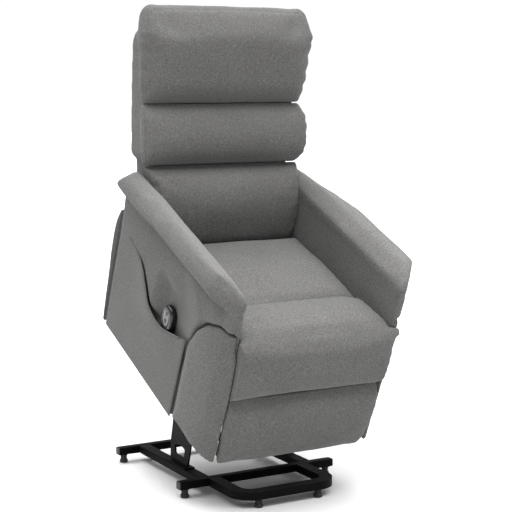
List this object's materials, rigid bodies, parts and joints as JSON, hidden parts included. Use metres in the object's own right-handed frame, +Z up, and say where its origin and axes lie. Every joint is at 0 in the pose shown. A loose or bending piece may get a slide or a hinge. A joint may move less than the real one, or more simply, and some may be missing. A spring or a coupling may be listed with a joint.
{
  "type": "lift recliner chair",
  "caption": "Powered lift recliner armchair on a steel base: the seat tilts forward to help the sitter stand, the back reclines and a footrest swings out.",
  "frame": {"origin": "on the floor, at the middle of the width and of the depth of the raised chair", "axes": "+Z up, the chair faces -Y, +X to the sitter's left"},
  "size_m": [0.6992, 0.9514, 1.5464],
  "materials": {
    "black_steel": "satin powder coat",
    "link_steel": "semi-gloss black",
    "black_plastic": "matte",
    "bright_rod": "polished",
    "handset_gloss": "gloss",
    "handset_keys": "matte",
    "timber": "raw",
    "upholstery": "heathered linen-look weave"
  },
  "bodies": {
    "base": {"base_front_crossbar": "black_steel", "base_rear_crossbar": "black_steel", "base_rail_right": "black_steel", "base_rail_left": "black_steel", "base_front_hoop": "black_steel", "foot_front_right": "black_plastic", "foot_front_left": "black_plastic", "foot_middle_right": "black_plastic", "foot_middle_left": "black_plastic", "foot_rear_right": "black_plastic", "foot_rear_left": "black_plastic", "lift_tower_right": "link_steel", "lift_tower_left": "link_steel"},
    "front_lift_arms": {"front_lift_arm_right": "link_steel", "front_lift_arm_left": "link_steel", "front_lift_cross_tube": "black_steel"},
    "rear_lift_arm_right": {"rear_lift_arm_right": "link_steel"},
    "rear_lift_arm_left": {"rear_lift_arm_left": "link_steel"},
    "seat_body": {"body_cross_tube": "black_steel", "lift_plate_right": "link_steel", "seat_rail_right": "timber", "lift_plate_left": "link_steel", "seat_rail_left": "timber", "seat_front_rail": "timber", "seat_rear_rail": "timber", "seat_spring_1": "link_steel", "seat_spring_2": "link_steel", "seat_spring_3": "link_steel", "arm_side_panel_right": "upholstery", "arm_inner_panel_right": "upholstery", "arm_front_bolster_right": "upholstery", "arm_pad_right": "upholstery", "arm_side_panel_left": "upholstery", "arm_inner_panel_left": "upholstery", "arm_front_bolster_left": "upholstery", "arm_pad_left": "upholstery", "handset_pocket_panel": "upholstery", "rear_panel": "upholstery", "seat_cushion": "upholstery", "seat_front_cushion": "upholstery"},
    "backrest": {"back_shell": "upholstery", "back_frame": "timber", "head_pillow": "upholstery", "middle_pillow": "upholstery", "lumbar_pillow": "upholstery"},
    "actuator_housing": {"actuator_housing": "black_plastic"},
    "actuator_rod": {"actuator_rod": "bright_rod"},
    "footrest_knee_links": {"footrest_knee_link_right": "link_steel", "footrest_knee_link_left": "link_steel", "footrest_cross_tube": "black_steel"},
    "footrest_reach_link_right": {"footrest_reach_link_right": "link_steel"},
    "footrest_reach_link_left": {"footrest_reach_link_left": "link_steel"},
    "footrest": {"footrest_board": "timber", "footrest_upper_pad": "upholstery", "footrest_lower_pad": "upholstery"},
    "handset": {"handset_body": "handset_gloss"},
    "handset_button_raise": {"handset_button_raise": "handset_keys"},
    "handset_button_lower": {"handset_button_lower": "handset_keys"}
  },
  "joints": [
    {"name": "lift", "type": "hinge", "parent": "base", "child": "front_lift_arms", "pos_m": [0, 0.03343, 0.22], "axis": [1, 0, 0], "range_deg": [-89.17, 0]},
    {"name": "seat_tilt", "type": "hinge", "parent": "front_lift_arms", "child": "seat_body", "pos_m": [0, 0.14845, 0.39542], "axis": [1, 0, 0], "range_deg": [0, 65.08]},
    {"name": "rear_lift_arm_right_swing", "type": "hinge", "parent": "base", "child": "rear_lift_arm_right", "pos_m": [0, 0.13543, 0.249], "axis": [1, 0, 0], "range_deg": [-76.64, 0]},
    {"name": "rear_lift_arm_left_swing", "type": "hinge", "parent": "base", "child": "rear_lift_arm_left", "pos_m": [0, 0.13543, 0.249], "axis": [1, 0, 0], "range_deg": [-76.64, 0]},
    {"name": "actuator_tilt", "type": "hinge", "parent": "seat_body", "child": "actuator_housing", "pos_m": [0, 0.30201, 0.55175], "axis": [1, 0, 0], "range_deg": [-10.24, 0]},
    {"name": "actuator_stroke", "type": "slide", "parent": "actuator_housing", "child": "actuator_rod", "axis": [0, -0.7946, -0.6071], "range_m": [-0.06095, 0]},
    {"name": "recline", "type": "hinge", "parent": "seat_body", "child": "backrest", "pos_m": [0, 0.2576, 0.82], "axis": [-1, 0, 0], "range_deg": [0, 30]},
    {"name": "footrest_raise", "type": "hinge", "parent": "seat_body", "child": "footrest_knee_links", "pos_m": [0, -0.18129, 0.50317], "axis": [-1, 0, 0], "range_deg": [0, 76.84]},
    {"name": "footrest_knee_right", "type": "hinge", "parent": "footrest_knee_links", "child": "footrest_reach_link_right", "pos_m": [0, -0.10447, 0.27023], "axis": [-1, 0, 0], "range_deg": [-105.31, 0]},
    {"name": "footrest_knee_left", "type": "hinge", "parent": "footrest_knee_links", "child": "footrest_reach_link_left", "pos_m": [0, -0.10447, 0.27023], "axis": [-1, 0, 0], "range_deg": [-105.31, 0]},
    {"name": "footrest_hinge", "type": "hinge", "parent": "footrest_reach_link_right", "child": "footrest", "pos_m": [0, -0.32061, 0.38607], "axis": [-1, 0, 0], "range_deg": [0, 116.47]},
    {"name": "handset_lift_out", "type": "slide", "parent": "seat_body", "child": "handset", "axis": [0, -0.4083, 0.9128], "range_m": [0, 0.026]},
    {"name": "button_raise", "type": "slide", "parent": "handset", "child": "handset_button_raise", "axis": [1, 0, 0], "range_m": [0, 0.0012], "stiffness_N_per_m": 400},
    {"name": "button_lower", "type": "slide", "parent": "handset", "child": "handset_button_lower", "axis": [1, 0, 0], "range_m": [0, 0.0012], "stiffness_N_per_m": 400}
  ],
  "couplings": [
    {"joint": "seat_tilt", "follows": "lift", "ratio": -0.72974},
    {"joint": "rear_lift_arm_right_swing", "follows": "lift", "ratio": 0.85938},
    {"joint": "rear_lift_arm_left_swing", "follows": "lift", "ratio": 0.85938},
    {"joint": "actuator_tilt", "follows": "lift", "ratio": 0.11469},
    {"joint": "actuator_stroke", "follows": "lift", "m_per_rad": 0.039096},
    {"joint": "footrest_knee_right", "follows": "footrest_raise", "ratio": -1.3703},
    {"joint": "footrest_knee_left", "follows": "footrest_raise", "ratio": -1.3703},
    {"joint": "footrest_hinge", "follows": "footrest_raise", "ratio": 1.5155}
  ]
}
